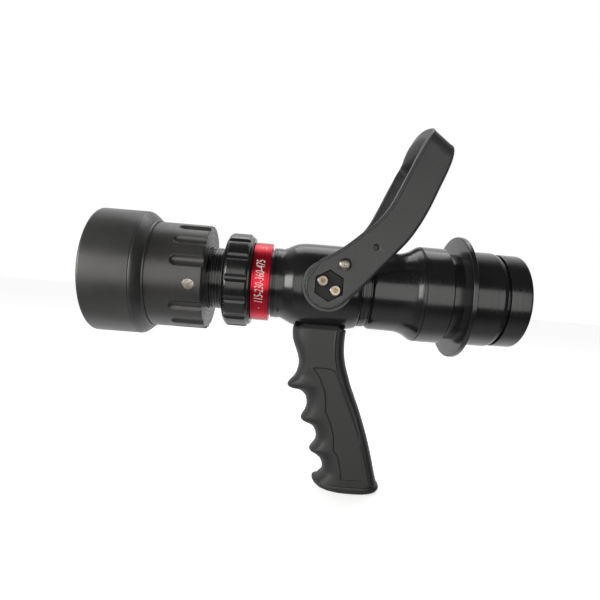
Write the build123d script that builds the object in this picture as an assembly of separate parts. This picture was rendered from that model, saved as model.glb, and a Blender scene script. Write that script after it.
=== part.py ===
from build123d import *
from math import sin, cos, radians, degrees, atan2
import os

# Hand-line fire nozzle: pistol grip, bail-handle ball valve, adjustable flow ring,
# turning pattern sleeve and a 65 mm snap-type spigot inlet.
# Frame: origin at the centre of the spigot's end face, +X along the waterway and out of
# the inlet (towards the hose), +Z up, -Y is the side that carries the near lever arm.
# All sizes in millimetres.

# ---------------------------------------------------------------- driving dimensions
L_ALL = 342.0            # outlet lip to spigot end
R_BUMPER = 50.0
R_SLEEVE = 42.5
R_BARREL = 25.0
R_BARREL_BORE = 19.5
R_WATER = 19.0           # valve waterway (38 mm)
RUN = 0.05               # radial running clearance

X_SLEEVE_REAR = -252.5
X_SLEEVE_FRONT = -336.0
X_BUMPER_REAR = -295.3
X_HUB_FRONT = -279.5
X_TUBE = -297.5          # joint between the sleeve and the mouth tube, under the bumper
R_MOUTH = 34.0
SLOT_PITCH = 24.0        # 15 stations round the sleeve: 12 slots and 3 cam screws
SLOT_0 = 190.0
X_CAM = -262.1
SLEEVE_TURN = 96.0       # degrees, jet to wide fog
SLEEVE_TRAVEL = 10.0     # mm, rearwards

X_FLOW_F, X_FLOW_R = -239.5, -217.3
R_FLOW = 38.1
FLOW_GROOVES = 14
FLOW_TURN = 90.0
BAFFLE_TRAVEL = 3.0
X_PIN = -227.5

X_INDEX_F, X_INDEX_R, R_INDEX = -217.0, -202.7, 32.0

X_BALL = -158.0
R_BALL = 27.5
R_SEAT = R_BALL + 0.30
Y_BOSS = 37.5            # outer face of the body's side bosses
R_BOSS = 20.0
R_STEM = 10.5
Y_ARM_IN, Y_ARM_OUT = 38.3, 47.0
R_ARM_BOSS = 17.7
R_HEX = 12.1
LEVER_ANGLE = 52.8       # lie of the lever's plane above +X at rest (valve open)
STOP_X, STOP_Z = -147.5, 16.5

X_SWIVEL = -122.0
R_STUB = 24.0
X_RACE = -113.0
R_RACE_BALL = 2.4
N_RACE = 24

X_INLET_END = -61.0
R_INLET = 39.6
R_LAND = 35.5
R_THREAD = 34.5
R_BORE = 31.0
R_TIP = 38.3
X_TIP = -17.1
X_RING_F, X_RING_R = -51.8, -19.8   # push ring
R_FLANGE = 50.2

Z_GRIP_TOP = -35.2

os.makedirs("parts", exist_ok=True)


# ---------------------------------------------------------------- helpers
def rev(pts):
    """Solid of revolution about X from a closed list of (x, r)."""
    face = make_face(Polyline(*[(x, r) for x, r in pts], close=True))
    return revolve(face, axis=Axis.X, revolution_arc=360)


def ring(x0, x1, r0, r1):
    return rev([(x0, r0), (x1, r0), (x1, r1), (x0, r1)])


def disc(x0, x1, r):
    return Pos((x0 + x1) / 2, 0, 0) * Rot(0, 90, 0) * Cylinder(r, abs(x1 - x0))


def radial(x, theta, r0, r1, rad):
    """Cylinder whose axis is radial, at station x and angle theta (from +Y to +Z)."""
    return Rot(theta, 0, 0) * Pos(x, (r0 + r1) / 2, 0) * Rot(90, 0, 0) * Cylinder(rad, r1 - r0)


def ycyl(x, z, y0, y1, rad):
    return Pos(x, (y0 + y1) / 2, z) * Rot(90, 0, 0) * Cylinder(rad, abs(y1 - y0))


def torus(x, r_major, r_minor):
    return Pos(x, 0, 0) * Rot(0, 90, 0) * Torus(r_major, r_minor)


def cam(x0, th0, turn, travel, r0, r1, w, over):
    """Helical slot cutter, right-handed about +X, run on by `over` degrees at each end."""
    lead = travel / turn
    x0, th0, travel, turn = x0 - lead * over, th0 - over, travel + 2 * lead * over, turn + 2 * over
    h = Helix(pitch=lead * 360, height=travel, radius=(r0 + r1) / 2, direction=(1, 0, 0))
    p, t = h @ 0, h % 0
    sec = Plane(origin=p, z_dir=t, x_dir=Vector(0, p.Y, p.Z).normalized()) * Rectangle(r1 - r0, w)
    a = degrees(atan2(p.Z, p.Y))
    return Pos(x0, 0, 0) * Rot(th0 - a, 0, 0) * sweep(sec, path=h, is_frenet=True)


def group(items):
    out = []
    for s in items:
        out.extend(s.solids())
    return Compound(children=[Solid(o.wrapped) for o in out])


def save(shape, name):
    shape.label = name
    sol = shape.solids()
    obj = sol[0] if len(sol) == 1 else Compound(children=[Solid(o.wrapped) for o in sol])
    obj.label = name
    export_step(obj, "parts/" + name + ".step")
    print(name, len(sol), round(sum(s.volume for s in sol) / 1000, 2), "cm3", flush=True)


# ---------------------------------------------------------------- valve body (fixed)
outer = [(-201.0, 28.8), (-200.6, 28.8), (-200.4, 28.3), (-200.0, 28.8), (-199.1, 28.8), (-198.9, 28.3),
         (-198.5, 28.8), (-195.0, 28.8), (-194.0, 28.4), (-191.0, 29.5), (-188.0, 31.0), (-184.8, 32.6),
         (-181.6, 33.7), (-178.3, 34.2), (-175.0, 34.5), (-168.0, 34.7), (-147.0, 34.7), (-140.0, 34.3),
         (-134.2, 33.3), (-131.5, 32.5), (-130.5, 31.6)]
inner = [(-130.5, 29.0), (-172.0, 29.0), (-172.0, 25.0), (-184.0, 25.0), (-184.0, R_WATER), (-188.0, R_WATER),
         (-188.0, 23.0), (-201.0, 23.0)]
body = rev(outer + inner)
cavity = rev([(-130.0, 0), (-130.0, 29.0), (-172.0, 29.0), (-172.0, 25.0), (-184.0, 25.0), (-184.0, R_WATER),
              (-188.0, R_WATER), (-188.0, 0)])
lug = Pos(-157.5, 0, -43.5) * Box(21, 16, 29.0)
for s in (-1, 1):
    body += ycyl(X_BALL, 0, s * 20, s * Y_BOSS, R_BOSS)
body -= cavity
for s in (-1, 1):
    body -= ycyl(X_BALL, 0, s * 20, s * 40, 12.5)
# rim relief on each side boss: the stop screw runs in it from 57.5 to 147.5 degrees
sector = Polyline((0, 0), (40 * cos(radians(47.5)), 40 * sin(radians(47.5))), (0, 60),
                  (40 * cos(radians(157.5)), 40 * sin(radians(157.5))), close=True)
sector = extrude(Plane(origin=(X_BALL, 0, 0), x_dir=(1, 0, 0), z_dir=(0, -1, 0)) * make_face(sector), 39, both=True)
for s in (-1, 1):
    rim = ycyl(X_BALL, 0, s * 34.2, s * 38, 26) - ycyl(X_BALL, 0, s * 34.0, s * 38.2, 16.4)
    body -= (rim & sector)

# grip axis: runs down and rearwards from the lug
_d = Vector(30, 0, -125).normalized()
GA = Plane(origin=(-157.5, 0, -40), x_dir=(0, 1, 0), z_dir=(_d.X, 0, _d.Z))


def galong(z0, z1, rad):
    return GA * (Pos(0, 0, (z0 + z1) / 2) * Cylinder(rad, z1 - z0))


save(body, "valve_body")

# saddle: flared pad and lug under the body, on which the grip is bolted
pad = loft([Pos(-159.25, 0, Z_GRIP_TOP) * Rectangle(43.8, 30.6), Pos(-159.25, 0, -26.0) * Rectangle(31.0, 22.0)])
pad = pad & (Pos(-159.25, 0, -33.0) * Box(60, 60, 12.0))
saddle = pad + Pos(-159.25, 0, Z_GRIP_TOP + 0.5) * Box(43.8, 30.6, 1.0) + lug
saddle -= rev([(outer[0][0], 0)] + outer + [(outer[-1][0], 0)])
saddle -= galong(-3, 40, 4.0)
save(saddle, "grip_saddle")

# ---------------------------------------------------------------- barrel
barrel = rev([(-318.0, 25.0), (-252.0, 25.0)] +
             [p for k in range(5) for p in ((-250.6 + 2.2 * k, 25.0), (-250.3 + 2.2 * k, 24.5),
                                            (-249.7 + 2.2 * k, 24.5), (-249.4 + 2.2 * k, 25.0))] +
             [(X_INDEX_R, 25.0), (X_INDEX_R, 27.2), (-201.0, 27.2), (-201.0, 23.0), (-188.0, 23.0),
              (-188.0, R_WATER), (-192.0, R_BARREL_BORE), (-300.0, R_BARREL_BORE), (-318.0, 23.2)])
# three helical cam grooves for the sleeve's screws
for k in range(3):
    barrel -= cam(X_CAM, SLOT_0 + 120 * k, SLEEVE_TURN, SLEEVE_TRAVEL, 22.6, 27.4, 5.4, 6.6)
# three axial slots that key the spider's drive pins
for k in range(3):
    slot = extrude(SlotOverall(BAFFLE_TRAVEL + 4.12, 4.12), 8, both=True)
    barrel -= Rot(90 + 120 * k, 0, 0) * Pos(X_PIN - BAFFLE_TRAVEL / 2, 21, 0) * Rot(90, 0, 0) * slot
# grooves: flow-ring seals, retaining ring
barrel -= ring(-236.6, -234.2, 23.0, 26)
barrel -= ring(-221.4, -219.0, 23.0, 26)
barrel -= ring(-240.9, -239.7, 23.4, 26)
save(barrel, "nozzle_barrel")

save(group([torus(-235.4, 24.0, 0.95), torus(-220.2, 24.0, 0.95)]), "flow_ring_seals")
clip = ring(-240.9, -239.7, 23.5, 27.0) - Rot(250, 0, 0) * Pos(-240.3, 25, 0) * Box(4, 8, 7)
save(clip, "flow_ring_clip")

# ---------------------------------------------------------------- index ring (fixed, red)
index = rev([(X_INDEX_F, 25.0), (X_INDEX_F, 31.5), (X_INDEX_F + 0.5, 32.0), (X_INDEX_R - 0.5, 32.0),
             (X_INDEX_R, 31.5), (X_INDEX_R, 25.0)])
DET = 60.0
pocket = Rot(DET, 0, 0) * Pos(X_INDEX_F + 4.0, 29.0, 0) * Rot(0, 90, 0) * Cylinder(1.6, 8.4)
index -= pocket
for th in (20, 140):
    index -= radial(-206.5, th, 25, 33, 1.5)
save(index, "index_ring")
save(group([radial(-206.5, th, 25.0, 31.4, 1.5) for th in (20, 140)]), "index_ring_screws")
save(Rot(DET, 0, 0) * Pos(-216.2, 29.0, 0) * Sphere(1.5), "flow_detent_ball")
coils = Rot(DET, 0, 0) * Pos(-211.8, 29.0, 0) * Rot(0, 90, 0) * (Cylinder(1.4, 5.6) - Cylinder(0.9, 6))
save(coils, "flow_detent_spring")

# ---------------------------------------------------------------- seats, seals, tail adapter
def seat(pts):
    f = make_face(Polyline(*pts, close=True)) - Pos(X_BALL, 0) * Circle(R_SEAT)
    return revolve(f, axis=Axis.X, revolution_arc=360)


seat_f = seat([(-184.0, R_WATER), (-170.5, R_WATER), (-170.5, 25.0), (-182.4, 25.0), (-182.4, 22.6), (-184.0, 22.6)])
save(seat_f, "ball_seat_front")
seat_r = seat([(-132.0, R_WATER), (-145.5, R_WATER), (-145.5, 25.0), (-133.6, 25.0), (-133.6, 22.6), (-132.0, 22.6)])
save(seat_r, "ball_seat_rear")
save(group([torus(-183.2, 23.8, 0.8), torus(-132.8, 23.8, 0.8)]), "seat_o_rings")

tail = rev([(-143.0, 25.0), (-143.0, 29.0), (-130.5, 29.0), (-130.5, 30.6), (-128.6, 30.6), (-128.2, 29.7),
            (-127.9, 29.7), (-127.7, 30.9), (-127.1, 30.9), (-126.8, 29.6), (-126.3, 29.6), (-126.0, 30.4),
            (-124.9, 30.4), (-124.6, 29.7), (-124.1, 29.7), (-123.8, 30.5), (-122.3, 30.5), (-122.3, R_STUB),
            (-100.6, R_STUB), (-100.6, R_WATER), (-132.0, R_WATER), (-132.0, 25.0)])
tail -= torus(X_RACE, R_STUB, R_RACE_BALL + 0.1)
tail -= ring(-106.2, -103.8, 22.0, 25)
save(tail, "tail_adapter")
save(torus(-105.0, 23.0, 0.98), "swivel_seal")

# ---------------------------------------------------------------- stems, ball
bushes, stems, orings = [], [], []
for s in (-1, 1):
    b = ycyl(X_BALL, 0, s * 30.2, s * Y_BOSS, 12.5) - ycyl(X_BALL, 0, s * 30, s * 38, R_STEM + 0.06)
    bushes.append(b)
    st = ycyl(X_BALL, 0, s * 28.0, s * 29.9, 12.2) + ycyl(X_BALL, 0, s * 29.9, s * 38.0, R_STEM)
    st += Pos(X_BALL, s * 25.85, 0) * Box(19.6, 4.5, 7.9)
    st -= ycyl(X_BALL, 0, s * 32.6, s * 35.0, 12) - ycyl(X_BALL, 0, s * 32.5, s * 35.1, 8.6)
    for hx, hz in ((-163.0, 3.4), (-153.4, -3.2)):
        st -= ycyl(hx + 0.2, hz, s * 30.4, s * 38.1, 2.0)
    stems.append(st)
    orings.append(Pos(X_BALL, s * 33.8, 0) * Rot(90, 0, 0) * Torus(9.55, 0.9))
save(group(bushes), "stem_bushes")
save(stems[0], "stem_near")
save(stems[1], "stem_far")
save(group(orings), "stem_o_rings")

ball = Pos(X_BALL, 0, 0) * Sphere(R_BALL) - disc(-190, -126, R_WATER)
for s in (-1, 1):
    ball -= Pos(X_BALL, s * 26.0, 0) * Box(19.8, 5.2, 8.1)
save(ball, "shut_off_ball")

# ---------------------------------------------------------------- bail handle
front = [(-174.2, 6.6), (-171.0, 12.2), (-166.1, 18.4), (-159.0, 22.9), (-151.6, 27.8), (-143.7, 34.3), (-135.4, 41.8),
         (-130.0, 46.4), (-124.3, 52.4), (-117.6, 61.8), (-111.6, 74.2), (-105.1, 89.3), (-100.7, 99.4),
         (-96.9, 107.4), (-93.0, 115.0), (-89.6, 121.0), (-86.6, 126.5)]
rear = [(-84.6, 129.5), (-68.5, 117.0), (-71.4, 108.5), (-75.5, 94.4), (-81.7, 78.0), (-87.8, 62.6), (-94.2, 49.6), (-100.8, 38.8),
        (-109.6, 28.0), (-121.2, 14.4), (-134.7, -1.6), (-145.6, -12.6)]
arc_c = (X_BALL, 0.0)
side = [Spline(*front), Line(front[-1], rear[0]), Line(rear[0], rear[1]), Spline(*rear[1:]),
        ThreePointArc(rear[-1], (X_BALL - R_ARM_BOSS * cos(radians(62)), -R_ARM_BOSS * sin(radians(62))), front[0])]
side_face = make_face(side)
XZ = Plane(origin=(0, 0, 0), x_dir=(1, 0, 0), z_dir=(0, -1, 0))
side_prism = extrude(XZ * side_face, 60, both=True)
la = radians(LEVER_ANGLE)
LP = Plane(origin=(X_BALL, 0, 0), x_dir=(0, 1, 0), z_dir=(sin(la), 0, -cos(la)))


def ushape(w, l0, l1, l_mid, fil):
    e = [Line((-w, l0), (-w, l1)), ThreePointArc((-w, l1), (0, l_mid), (w, l1)), Line((w, l1), (w, l0)),
         Line((w, l0), (-w, l0))]
    f = make_face(e)
    vs = [v for v in f.vertices() if abs(v.Y - l1) < 1e-3]
    return fillet(vs, fil)


u_out = extrude(LP * ushape(Y_ARM_OUT, -40, 140.0, 145.5, 14.5), 90, both=True)
u_in = extrude(LP * ushape(Y_ARM_IN, -45, 129.5, 135.0, 7), 95, both=True)
# the crossbar swells forwards between the arms, as a palm rest
swell = make_face([ThreePointArc((-42, 16.5), (0, 25.6), (42, 16.5)), Line((42, 16.5), (42, 8)), Line((42, 8), (-42, 8)),
                   Line((-42, 8), (-42, 16.5))])
LY = Plane(origin=(X_BALL + 122 * cos(la), 0, 122 * sin(la)), x_dir=(0, 1, 0), z_dir=(cos(la), 0, sin(la)))
swell = extrude(LY * swell, 26)
bail = ((side_prism + swell) & u_out) - u_in
hexa = extrude(Plane(origin=(X_BALL, 0, 0), x_dir=(1, 0, 0), z_dir=(0, -1, 0)) *
               RegularPolygon(R_HEX, 6, rotation=30), 60, both=True)
bail -= hexa
hubs, hub_screws, stop_screws = [], [], []
for s in (-1, 1):
    hub = ycyl(X_BALL, 0, s * 38.0, s * 45.0, 14) & hexa
    for hx, hz in ((-162.8, 3.4), (-153.2, -3.2)):
        hub -= ycyl(hx, hz, s * 37.9, s * 45.1, 2.0)
        sc = ycyl(hx, hz, s * 31.0, s * 45.0, 2.0) + ycyl(hx, hz, s * 45.0, s * 47.6, 4.25)
        sc -= ycyl(hx, hz, s * 46.0, s * 47.7, 2.0)
        hub_screws.append(sc)
    hubs.append(hub)
    bail -= ycyl(STOP_X, STOP_Z, s * 38, s * 48, 2.5)
    bail -= ycyl(-125.5, 31.0, s * 43.0, s * 48, 2.3)
    dome = Pos(STOP_X, s * 43.4, STOP_Z) * Sphere(6.0)
    dome = dome & ycyl(STOP_X, STOP_Z, s * 47.0, s * 50, 4.75)
    stop_screws.append(dome + ycyl(STOP_X, STOP_Z, s * 34.9, s * 47.0, 2.5))
save(bail, "bail_handle")
save(group(hubs), "hex_hubs")
save(group(hub_screws), "hub_screws")
save(group(stop_screws), "stop_screws")

# ---------------------------------------------------------------- pistol grip
gf = [(-181.4, Z_GRIP_TOP), (-181.3, -41.0), (-180.0, -47.0), (-177.0, -54.0), (-174.3, -62.0), (-174.6, -69.0),
      (-177.2, -76.0), (-181.3, -81.0), (-182.2, -84.0), (-180.0, -86.3), (-174.0, -86.8), (-168.5, -89.5),
      (-165.6, -94.5), (-165.2, -100.5), (-167.2, -106.0), (-168.9, -110.2), (-166.8, -113.2), (-161.0, -115.0),
      (-157.0, -119.0), (-155.3, -125.0), (-157.0, -131.2), (-159.8, -135.6), (-157.0, -138.8), (-151.6, -142.0),
      (-148.9, -147.2), (-149.6, -151.6), (-152.4, -154.8), (-154.6, -157.6)]
gr = [(-102.6, -157.6), (-104.5, -150.2), (-109.6, -131.9), (-116.9, -110.5), (-125.3, -90.0), (-132.7, -71.2),
      (-136.4, -57.2), (-137.6, -46.0), (-137.0, Z_GRIP_TOP)]
gface = make_face([Spline(*gf), Line(gf[-1], gr[0]), Spline(*gr), Line(gr[-1], gf[0])])
grip = extrude(XZ * gface, 15.5, both=True)
ed = [e for e in grip.edges() if abs(abs(e.center().Y) - 15.5) < 0.01 and e.length > 40
      and e.geom_type != GeomType.LINE]
for r in (4.0, 3.0, 2.0):
    try:
        grip = fillet(ed, r)
        break
    except Exception:
        continue
grip -= lug
grip -= galong(10, 60, 4.3)
grip -= galong(58.4, 140, 8.3)
save(grip, "pistol_grip")

cf = [(-154.6, -157.6), (-155.9, -159.6), (-155.2, -162.0), (-151.6, -164.6), (-145.5, -166.3), (-137.0, -166.9)]
cr = [(-109.0, -166.9), (-103.4, -166.1), (-100.2, -164.0), (-99.6, -161.6), (-100.8, -159.2), (-102.6, -157.6)]
cface = make_face([Spline(*cf), Line(cf[-1], cr[0]), Spline(*cr), Line(cr[-1], cf[0])])
cap = extrude(XZ * cface, 16.5, both=True)
cap_plug = galong(112.0, 121.6, 8.2) - (Pos(-130, 0, -180) * Box(120, 60, 44.8))
cap += cap_plug
save(cap, "grip_base_cap")
bolt = galong(-1.5, 60.0, 4.0) + galong(60.0, 68.0, 6.5)
bolt -= GA * (Pos(0, 0, 66) * extrude(RegularPolygon(3.4, 6), 5))
save(bolt, "grip_bolt")
save(galong(58.4, 60.0, 8.0) - galong(58, 61, 4.0), "grip_washer")

# ---------------------------------------------------------------- flow ring (turns)
flow = rev([(X_FLOW_F, R_BARREL + RUN), (X_FLOW_F, 29.0), (-238.9, 31.6), (-237.9, 34.1), (-236.3, 36.6), (-234.8, 37.8),
            (-233.6, R_FLOW), (-221.8, R_FLOW), (-219.9, 37.3), (-218.3, 34.8), (X_FLOW_R, 32.4),
            (X_FLOW_R, R_BARREL + RUN)])
cut = []
for k in range(FLOW_GROOVES):
    cut.append(Rot(179.4 + 360 / FLOW_GROOVES * k, 0, 0) * Pos(-228, 41.0, 0) * Rot(0, 90, 0) * Cylinder(4.2, 30))
for c in cut:
    flow -= c
for k in range(3):
    flow -= cam(X_PIN - BAFFLE_TRAVEL, 90 + 120 * k - FLOW_TURN, FLOW_TURN, BAFFLE_TRAVEL, 24.5, 29.0, 4.3, 5.4)
flow -= ring(-218.5, -217.0, 27.2, 30.8)
save(flow, "flow_ring")

# ---------------------------------------------------------------- spider, stem and baffle (slide)
spider = ring(-234.0, -221.0, 17.4, R_BARREL_BORE - RUN) + ring(-234.0, -221.0, 5.0, 8.0)
for k in range(3):
    spider += Rot(90 + 120 * k, 0, 0) * Pos(X_PIN, 12.6, 0) * Box(12.0, 10.4, 5.4)
for k in range(3):
    spider -= radial(X_PIN, 90 + 120 * k, 10.0, 20, 2.0)
save(spider, "stem_spider")
save(group([radial(X_PIN, 90 + 120 * k, 10.0, 28.6, 2.0) for k in range(3)]), "drive_pins")
stem = disc(-324.0, -212.0, 4.0) + disc(-306.5, -221.0 - 13.0, 5.2)
stem = disc(-320.0, -213.0, 5.0)
save(stem, "baffle_stem")
save(extrude(Plane(origin=(-221.0, 0, 0), x_dir=(0, 1, 0), z_dir=(1, 0, 0)) * RegularPolygon(8.5, 6), 7) -
     disc(-222, -213.0, 5.0), "stem_nut")
head = rev([(-326.0, 0), (-326.0, 23.5), (-325.2, 25.4), (-323.6, 26.0), (-321.5, 26.0), (-316.0, 16.0), (-311.0, 9.5),
            (-306.0, 7.4), (-306.0, 5.0), (-320.0, 5.0), (-320.0, 0)])
head -= ring(-327, -325.0, 19.4, 20.4)
save(head, "baffle_head")

# ---------------------------------------------------------------- pattern sleeve (turns and slides)
sleeve = rev([(X_SLEEVE_REAR, R_BARREL + RUN), (X_SLEEVE_REAR, 41.6), (-253.4, R_SLEEVE), (X_TUBE, R_SLEEVE),
              (X_TUBE, R_MOUTH), (-284.5, R_MOUTH), (X_HUB_FRONT, 30.0), (X_HUB_FRONT, R_BARREL + RUN)])
cut = []
for k in range(15):
    if k in (0, 5, 10):
        continue
    c = Pos(-262.0, 45.25, 0) * Rot(0, 90, 0) * Cylinder(5.2, 22) + Pos(-273.0, 45.25, 0) * Sphere(5.2)
    cut.append(Rot(SLOT_0 + SLOT_PITCH * k, 0, 0) * c)
for c in cut:
    sleeve -= c
for k in range(3):
    sleeve -= radial(X_CAM, SLOT_0 + 120 * k, 24, 44, 2.5)
    sleeve -= radial(X_CAM, SLOT_0 + 120 * k, 38.6, 44, 4.2)
sleeve -= ring(-277.6, -275.0, 24.9, 27.0)
save(sleeve, "pattern_sleeve")
# mouth tube: carries the bumper and the fog teeth, screwed to the front of the sleeve
save(rev([(X_TUBE, R_MOUTH), (X_TUBE, R_SLEEVE), (-314.0, R_SLEEVE), (-314.0, 44.2), (-318.0, 44.2), (-318.0, R_SLEEVE),
          (X_SLEEVE_FRONT, R_SLEEVE), (X_SLEEVE_FRONT, 38.5), (-331.0, 38.5), (-331.0, R_MOUTH)]), "mouth_tube")
cams = []
for k in range(3):
    c = radial(X_CAM, SLOT_0 + 120 * k, 23.1, 38.6, 2.5) + radial(X_CAM, SLOT_0 + 120 * k, 38.6, 42.5, 4.2)
    c -= Rot(SLOT_0 + 120 * k, 0, 0) * Pos(X_CAM, 42.5, 0) * Rot(0, 38, 0) * Box(10, 2.4, 1.1)
    cams.append(c)
save(group(cams), "cam_screws")
save(torus(-276.3, 26.05, 0.95), "sleeve_o_ring")

bumper = rev([(X_BUMPER_REAR, R_SLEEVE), (X_BUMPER_REAR, 43.7), (-296.9, 43.9), (-297.4, 44.8), (-299.5, 46.9),
              (-302.2, 49.2), (-303.2, 49.7), (-303.4, 49.1), (-304.4, 49.1), (-304.6, 50.0), (-339.4, 50.0),
              (-340.9, 49.6), (-341.7, 48.6), (-342.0, 47.2), (-342.0, 44.6), (-340.6, 42.6), (-337.2, 40.8),
              (-336.0, 40.6), (-336.0, R_SLEEVE), (-318.0, R_SLEEVE), (-318.0, 44.2), (-314.0, 44.2), (-314.0, R_SLEEVE)])
save(bumper, "front_bumper")
teeth = ring(-336.6, -331.0, 34.6, 38.5)
for k in range(24):
    teeth += Rot(15 * k, 0, 0) * Pos(-338.3, 36.5, 0) * Box(4.2, 3.4, 4.4)
save(teeth, "fog_teeth_ring")

# ---------------------------------------------------------------- inlet body, spigot tube (swivel)
inlet = rev([(X_SWIVEL, R_STUB + 0.06), (X_SWIVEL, 31.0), (-121.0, 32.0), (-119.0, 32.4), (-97.5, 32.7), (-93.8, 33.6),
             (-90.5, 34.8), (-88.3, 36.0), (-86.0, 37.7), (-83.6, 39.1), (-83.0, 39.2), (-82.8, 38.7), (-82.3, 38.7),
             (-82.0, 39.4), (-80.5, R_INLET), (-62.0, R_INLET), (X_INLET_END, 38.8), (X_INLET_END, R_THREAD),
             (-79.0, R_THREAD), (-79.0, 30.6), (-83.0, 29.6), (-98.0, 20.2), (-100.2, 20.0), (-100.2, R_STUB + 0.06)])
inlet -= torus(X_RACE, R_STUB, R_RACE_BALL + 0.1)
inlet -= radial(X_RACE, 35, 25.0, 34, 3.0)
save(inlet, "inlet_body")
save(radial(X_RACE, 35, 26.7, 32.2, 3.0) - Rot(35, 0, 0) * Pos(X_RACE, 32.2, 0) * Box(6.4, 2.4, 1.1), "swivel_plug")
save(group([Rot(360 / N_RACE * k, 0, 0) * Pos(X_RACE, R_STUB, 0) * Sphere(R_RACE_BALL) for k in range(N_RACE)]),
     "swivel_balls")
save(ring(-79.0, -78.0, 31.0, 34.4), "inlet_gasket")
spigot = rev([(-78.0, R_BORE), (-78.0, R_THREAD), (X_INLET_END, R_THREAD), (X_INLET_END, R_LAND), (X_TIP, R_LAND),
              (X_TIP, R_TIP), (-1.6, R_TIP), (-0.5, 37.8), (0, 36.8), (0, R_BORE)])
save(spigot, "spigot_tube")

# ---------------------------------------------------------------- push ring (slides)
save(rev([(X_RING_F, R_LAND + 0.06), (X_RING_F, R_FLANGE - 0.6), (X_RING_F + 0.6, R_FLANGE), (-48.4, R_FLANGE),
          (-47.8, R_FLANGE - 0.6), (-47.8, R_LAND + 0.06)]), "push_flange")
save(rev([(-47.8, R_LAND + 0.06), (-47.8, 39.6), (-47.2, 39.2), (-22.9, 39.2), (X_RING_R, 38.4),
          (X_RING_R, R_LAND + 0.06)]), "push_ring")
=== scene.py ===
import bpy, bmesh, math
import numpy as np
from mathutils import Matrix, Vector


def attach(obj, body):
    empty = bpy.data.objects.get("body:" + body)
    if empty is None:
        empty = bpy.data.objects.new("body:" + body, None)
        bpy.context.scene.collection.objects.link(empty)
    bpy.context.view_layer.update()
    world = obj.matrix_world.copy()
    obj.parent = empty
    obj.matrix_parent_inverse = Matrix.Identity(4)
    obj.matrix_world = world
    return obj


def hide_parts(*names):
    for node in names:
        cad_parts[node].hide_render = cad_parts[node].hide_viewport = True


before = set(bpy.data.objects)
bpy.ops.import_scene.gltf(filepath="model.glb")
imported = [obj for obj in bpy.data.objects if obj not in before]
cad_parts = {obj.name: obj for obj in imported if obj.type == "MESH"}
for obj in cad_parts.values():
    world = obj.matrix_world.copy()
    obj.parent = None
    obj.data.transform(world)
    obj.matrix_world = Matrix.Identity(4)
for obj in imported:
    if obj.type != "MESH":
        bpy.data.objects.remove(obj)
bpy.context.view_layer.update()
pi = math.pi


# ============================================================ materials
def new_mat(name):
    m = bpy.data.materials.new(name)
    m.use_nodes = True
    nt = m.node_tree
    for n in list(nt.nodes):
        nt.nodes.remove(n)
    out = nt.nodes.new("ShaderNodeOutputMaterial")
    p = nt.nodes.new("ShaderNodeBsdfPrincipled")
    nt.links.new(p.outputs[0], out.inputs[0])
    return m, nt, p


def coords(nt, scale=(1, 1, 1)):
    tc = nt.nodes.new("ShaderNodeTexCoord")
    mp = nt.nodes.new("ShaderNodeMapping")
    mp.inputs["Scale"].default_value = scale
    nt.links.new(tc.outputs["Object"], mp.inputs[0])
    return mp.outputs[0]


def noise(nt, vec, scale, detail=3, rough=0.55):
    n = nt.nodes.new("ShaderNodeTexNoise")
    n.inputs["Scale"].default_value = scale
    n.inputs["Detail"].default_value = detail
    n.inputs["Roughness"].default_value = rough
    nt.links.new(vec, n.inputs["Vector"])
    return n.outputs["Fac"]


def ramp(nt, fac, stops):
    r = nt.nodes.new("ShaderNodeValToRGB")
    e = r.color_ramp.elements
    while len(e) < len(stops):
        e.new(0.5)
    for k, (pos, c) in enumerate(stops):
        e[k].position = pos
        e[k].color = (c, c, c, 1) if not hasattr(c, "__len__") else (*c, 1)
    nt.links.new(fac, r.inputs[0])
    return r.outputs[0]


def mixc(nt, fac, a, b):
    m = nt.nodes.new("ShaderNodeMix")
    m.data_type = "RGBA"
    for sock, v in ((m.inputs[0], fac), (m.inputs[6], a), (m.inputs[7], b)):
        if hasattr(v, "links"):
            nt.links.new(v, sock)
        elif hasattr(v, "__len__"):
            sock.default_value = (*v, 1)
        else:
            sock.default_value = v
    return m.outputs[2]


def bump(nt, p, height, strength, dist, prev=None):
    b = nt.nodes.new("ShaderNodeBump")
    b.inputs["Strength"].default_value = strength
    b.inputs["Distance"].default_value = dist
    nt.links.new(height, b.inputs["Height"])
    if prev is not None:
        nt.links.new(prev, b.inputs["Normal"])
    nt.links.new(b.outputs[0], p.inputs["Normal"])
    return b.outputs[0]


def edge_wear(nt, lo=0.52, hi=0.62):
    g = nt.nodes.new("ShaderNodeNewGeometry")
    return ramp(nt, g.outputs["Pointiness"], [(lo, 0.0), (hi, 1.0)])


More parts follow.
